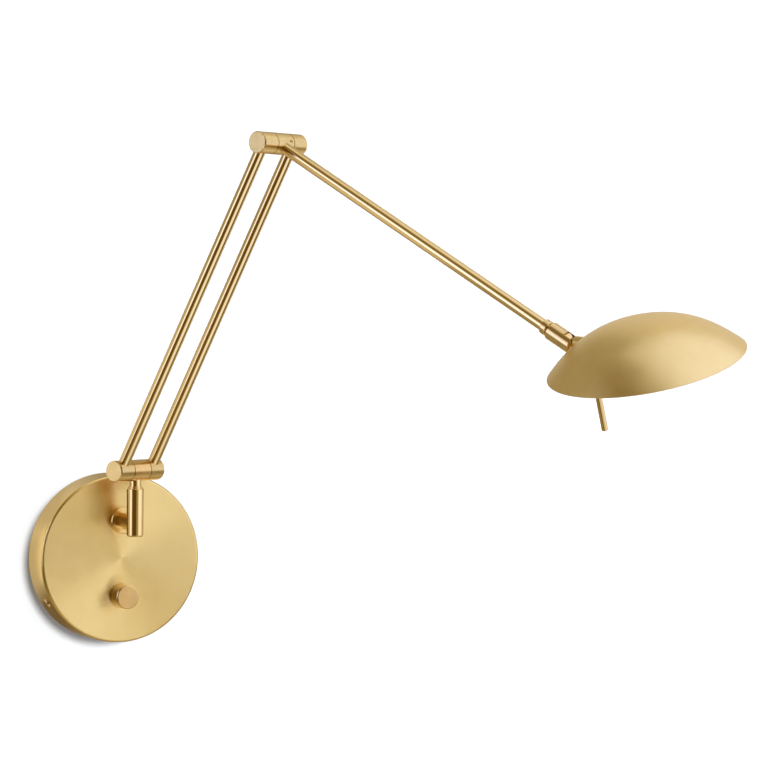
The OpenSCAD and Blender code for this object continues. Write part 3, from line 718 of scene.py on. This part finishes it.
def build_tent(studio):
    """The light tent of soft cards round the light, which the camera looks through.

    A sphere of points centre + R (cos e sin a, -cos e cos a, sin e), seen from its inside.
    """
    turns, rings = 72, 37
    azimuth, elevation = np.meshgrid(np.linspace(0, 2 * math.pi, turns, endpoint=False),
                                     np.linspace(-math.pi / 2, math.pi / 2, rings)[1:-1])
    ball = np.stack([np.cos(elevation) * np.sin(azimuth), -np.cos(elevation) * np.cos(azimuth),
                     np.sin(elevation)], -1).reshape(-1, 3)
    ball = np.concatenate([ball, [[0, 0, -1]], [[0, 0, 1]]])
    centre = np.array(studio.tent_centre)
    grid = np.arange((rings - 2) * turns).reshape(rings - 2, turns)
    following = np.roll(grid, -1, 1)
    sides = np.stack([grid[:-1], following[:-1], following[1:], grid[1:]], -1).reshape(-1, 4)
    low = np.stack([np.full(turns, len(ball) - 2), following[0], grid[0]], -1)
    high = np.stack([np.full(turns, len(ball) - 1), grid[-1], following[-1]], -1)
    mesh = bpy.data.meshes.new("studio_tent")
    mesh.from_pydata((centre + studio.tent_radius * ball).tolist(), [],
                     sides.tolist() + low.tolist() + high.tolist())
    mesh.shade_smooth()
    tent = bpy.data.objects.new("studio_tent", mesh)
    bpy.context.scene.collection.objects.link(tent)
    material, recipe = new_material("light tent")
    point = recipe.node("ShaderNodeTexCoord", output="Object")
    ray = recipe.vector("NORMALIZE", recipe.vector("SUBTRACT", point, tuple(centre)))
    lift = recipe.vector("DOT_PRODUCT", ray, (0.0, 0.0, 1.0), "Value")
    level = recipe.smooth(lift, 0.35, 0.95) * (studio.overhead - studio.surround) + studio.surround
    for _, *card, strength in CARDS:
        level = level + card_mask(recipe, ray, *card) * (strength - level)
    tint = recipe.node("ShaderNodeCombineColor", None, {
        0: level, 1: (level ** 1.25) * 1.05, 2: (level ** 2.1) * 1.28})
    inside = recipe.node("ShaderNodeEmission", None, {"Color": tint, "Strength": 1.0})
    clear = recipe.node("ShaderNodeBsdfTransparent")
    behind = recipe.node("ShaderNodeNewGeometry", output="Backfacing")
    seen = recipe.node("ShaderNodeMixShader", None, {0: behind, 1: clear, 2: inside})
    recipe.node("ShaderNodeOutputMaterial", None, {"Surface": seen})
    mesh.materials.append(material)
    tent.visible_camera = False
    tent.visible_shadow = False


def build_window(studio, sweep):
    """A soft lamp in front, up and to the right, which draws the canopy's shadow on the wall.

    It lights the wall alone, so the object has no more light than the tent's.
    """
    data = bpy.data.lights.new("window_light", "SUN")
    data.energy = studio.window_level
    data.angle = studio.window_angle
    lamp = bpy.data.objects.new("window_light", data)
    toward = direction(math.degrees(studio.window_azimuth), math.degrees(studio.window_elevation))
    right = unit(np.cross((0.0, 0.0, 1.0), toward))
    turn = np.eye(4)
    turn[:3, :3] = np.stack([right, np.cross(toward, right), toward], -1)
    lamp.matrix_world = Matrix(turn.tolist())
    lamp.visible_glossy = False
    blockers = bpy.data.collections.new("window_blockers")
    for node_name in ("canopy", "wall_bracket"):
        blockers.objects.link(NODES[node_name])
    lamp.light_linking.blocker_collection = blockers
    receivers = bpy.data.collections.new("window_receivers")
    receivers.objects.link(sweep)
    lamp.light_linking.receiver_collection = receivers
    bpy.context.scene.collection.objects.link(lamp)


def wall_in_metal(recipe, studio, point):
    """The wall's colour as the brass mirrors it.

    It is painted dim at the left and bright at the right and beside the canopy. Close round the
    canopy a painted shadow shows, deepest at the lower left, with a painted light halo outside it at
    the left.
    """
    sideways = recipe.vector("DOT_PRODUCT", point, (1.0, 0.0, 0.0), "Value")
    upward = recipe.vector("DOT_PRODUCT", point, (0.0, 0.0, 1.0), "Value")
    flat = recipe.vector("MULTIPLY", point, (1.0, 0.0, 1.0))
    gap = recipe.vector("LENGTH", flat, output="Value") - float(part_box("canopy")[1][0])
    beside = recipe.smooth(upward, -0.05, 0.0) * recipe.fall(upward, 0.1, 0.3)
    # Painted dimness: the wall is painted darker at the left and brighter at the right and beside the
    # canopy.
    painted_dimness = recipe.fall(sideways, 0.06, 0.40) * (1 - beside * recipe.fall(sideways, -0.05, 0.0))
    # A painted light halo on the wall just outside the canopy's shadow, at the left.
    painted_halo = recipe.smooth(gap, 0.006, 0.010) * recipe.fall(gap, 0.020, 0.035)
    painted_halo = painted_halo * recipe.fall(sideways, -0.04, -0.02)
    painted_halo = painted_halo * recipe.smooth(upward, -0.030, -0.014) * recipe.fall(upward, 0.022, 0.038)
    # low, high and level mask the painted shadow round the canopy: below, above and level with its
    # centre.
    low = recipe.fall(upward, -0.042, -0.016) * recipe.fall(sideways, -0.04, 0.0)
    high = recipe.smooth(upward, 0.014, 0.034) * recipe.fall(upward, 0.046, 0.058)
    level = recipe.smooth(upward, -0.03, -0.01) * recipe.fall(upward, 0.008, 0.024)
    shade = low * 0.75 + high * 0.24 + level * recipe.fall(gap, 0.006, 0.012) * 0.24
    shade = shade * recipe.fall(gap, 0.025, 0.050) * recipe.fall(sideways, -0.02, 0.02)
    plain = recipe.blend(painted_dimness, colour4(studio.wall_bright), colour4(studio.wall_dim))
    painted_lit_wall = recipe.blend(painted_halo, plain, colour4(studio.halo_light))
    return recipe.blend(shade, painted_lit_wall, colour4(studio.wall_shade))


def build_sweep(studio):
    """The pale wall that bends into a pale floor.

    Down the wall, then a quarter circle, then out along the floor, carried sideways.
    """
    wall_top, reach, radius = 8.0, 12.0, 0.25
    bend = np.linspace(0, math.pi / 2, 24)
    wall, floor = studio.wall_gap, -studio.floor_drop
    down = np.concatenate([[wall_top, 1.0], floor + radius - radius * np.sin(bend), [floor]])
    out = np.concatenate([[wall, wall], wall - radius + radius * np.cos(bend), [-reach]])
    across = np.linspace(-reach, reach, 9)
    rows, columns = np.meshgrid(np.arange(len(down)), np.arange(len(across)), indexing="ij")
    points = np.stack([across[columns], out[rows], down[rows]], -1).reshape(-1, 3)
    corner = (rows * len(across) + columns)[:-1, :-1].reshape(-1)
    faces = np.stack([corner, corner + len(across), corner + len(across) + 1, corner + 1], -1)
    mesh = bpy.data.meshes.new("studio_sweep")
    mesh.from_pydata(points.tolist(), [], faces.tolist())
    mesh.shade_smooth()
    sweep = bpy.data.objects.new("studio_sweep", mesh)
    bpy.context.scene.collection.objects.link(sweep)
    material, recipe = new_material("pale wall")
    gloss = recipe.node("ShaderNodeLightPath", output="Is Glossy Ray")
    point = recipe.node("ShaderNodeTexCoord", output="Object")
    # Glossy rays see the wall's painted light and painted shadow instead of its lit colour.
    in_metal = wall_in_metal(recipe, studio, point)
    pale = recipe.blend(gloss, colour4(studio.wall_colour), (0.0, 0.0, 0.0, 1.0))
    upward = recipe.vector("DOT_PRODUCT", point, (0.0, 0.0, 1.0), "Value")
    lift = recipe.blend(recipe.fall(upward, -1.5, -1.0),
                        colour4(studio.wall_lift), colour4((studio.floor_lift,) * 3))
    lifted = recipe.blend(gloss, lift, in_metal)
    front = recipe.node("ShaderNodeAddShader", None, {
        0: recipe.node("ShaderNodeBsdfDiffuse", None, {"Color": pale}),
        1: recipe.node("ShaderNodeEmission", None,
                       {"Color": lifted, "Strength": background_ray(recipe)})})
    clear = recipe.node("ShaderNodeBsdfTransparent")
    behind = recipe.node("ShaderNodeNewGeometry", output="Backfacing")
    seen = recipe.node("ShaderNodeMixShader", None, {0: behind, 1: front, 2: clear})
    recipe.node("ShaderNodeOutputMaterial", None, {"Surface": seen})
    mesh.materials.append(material)
    return sweep


def build_camera(setup):
    """The camera, from its place, azimuth, pitch and roll."""
    a, p = setup.azimuth, setup.pitch
    back = np.array([math.sin(a) * math.cos(p), -math.cos(a) * math.cos(p), math.sin(p)])
    right = unit(np.cross(-back, (0.0, 0.0, 1.0)))
    upward = np.cross(right, -back)
    cos_roll, sin_roll = math.cos(setup.roll), math.sin(setup.roll)
    across = cos_roll * right - sin_roll * upward
    above = sin_roll * right + cos_roll * upward
    data = bpy.data.cameras.new("camera")
    data.sensor_width = 36.0
    data.lens = setup.lens
    data.clip_start = 0.05
    data.clip_end = 50.0
    camera = bpy.data.objects.new("camera", data)
    columns = np.eye(4)
    columns[:3, :4] = np.stack([across, above, back, np.array(setup.place)], -1)
    camera.matrix_world = Matrix(columns.tolist())
    bpy.context.scene.collection.objects.link(camera)
    bpy.context.scene.camera = camera


class READINGLIGHT_OT_stage(bpy.types.Operator):
    """Set up the wall, the soft studio surround and the camera"""
    bl_idname = "reading_light.stage"
    bl_label = "Stage"

    def execute(self, context):
        scene = context.scene
        scene.view_settings.view_transform = "Standard"
        build_world()
        sweep = build_sweep(scene.reading_light_studio)
        build_tent(scene.reading_light_studio)
        build_window(scene.reading_light_studio, sweep)
        build_camera(scene.reading_light_camera)
        return {"FINISHED"}


class READINGLIGHT_PT_panel(bpy.types.Panel):
    """Sidebar panel that lists the steps"""
    bl_idname = "READINGLIGHT_PT_panel"
    bl_label = "Reading Light"
    bl_space_type = "VIEW_3D"
    bl_region_type = "UI"
    bl_category = "Reading Light"

    def draw(self, context):
        for step in STEPS:
            self.layout.operator(step.bl_idname)


STEPS = (
    READINGLIGHT_OT_stage,
    READINGLIGHT_OT_canopy,
    READINGLIGHT_OT_knob,
    READINGLIGHT_OT_post,
    READINGLIGHT_OT_barrels,
    READINGLIGHT_OT_tubes,
    READINGLIGHT_OT_shade,
    READINGLIGHT_OT_light_unit,
    READINGLIGHT_OT_fittings,
)
GROUPS = (
    ("reading_light_shade", ShadeSizes),
    ("reading_light_brass", BrassFinish),
    ("reading_light_studio", StudioLight),
    ("reading_light_camera", CameraSetup),
)


def register():
    """Registers the sizes, the steps and the panel."""
    for attribute, group in GROUPS:
        bpy.utils.register_class(group)
        setattr(bpy.types.Scene, attribute, PointerProperty(type=group))
    for step in STEPS:
        bpy.utils.register_class(step)
    bpy.utils.register_class(READINGLIGHT_PT_panel)


def unregister():
    """Takes out what register added."""
    bpy.utils.unregister_class(READINGLIGHT_PT_panel)
    for step in reversed(STEPS):
        bpy.utils.unregister_class(step)
    for attribute, group in reversed(GROUPS):
        delattr(bpy.types.Scene, attribute)
        bpy.utils.unregister_class(group)


def main():
    """Builds every piece in order."""
    register()
    bpy.ops.reading_light.stage()
    bpy.ops.reading_light.canopy()
    bpy.ops.reading_light.knob()
    bpy.ops.reading_light.post()
    bpy.ops.reading_light.barrels()
    bpy.ops.reading_light.tubes()
    bpy.ops.reading_light.shade()
    bpy.ops.reading_light.light_unit()
    bpy.ops.reading_light.fittings()


if __name__ == "__main__":
    main()
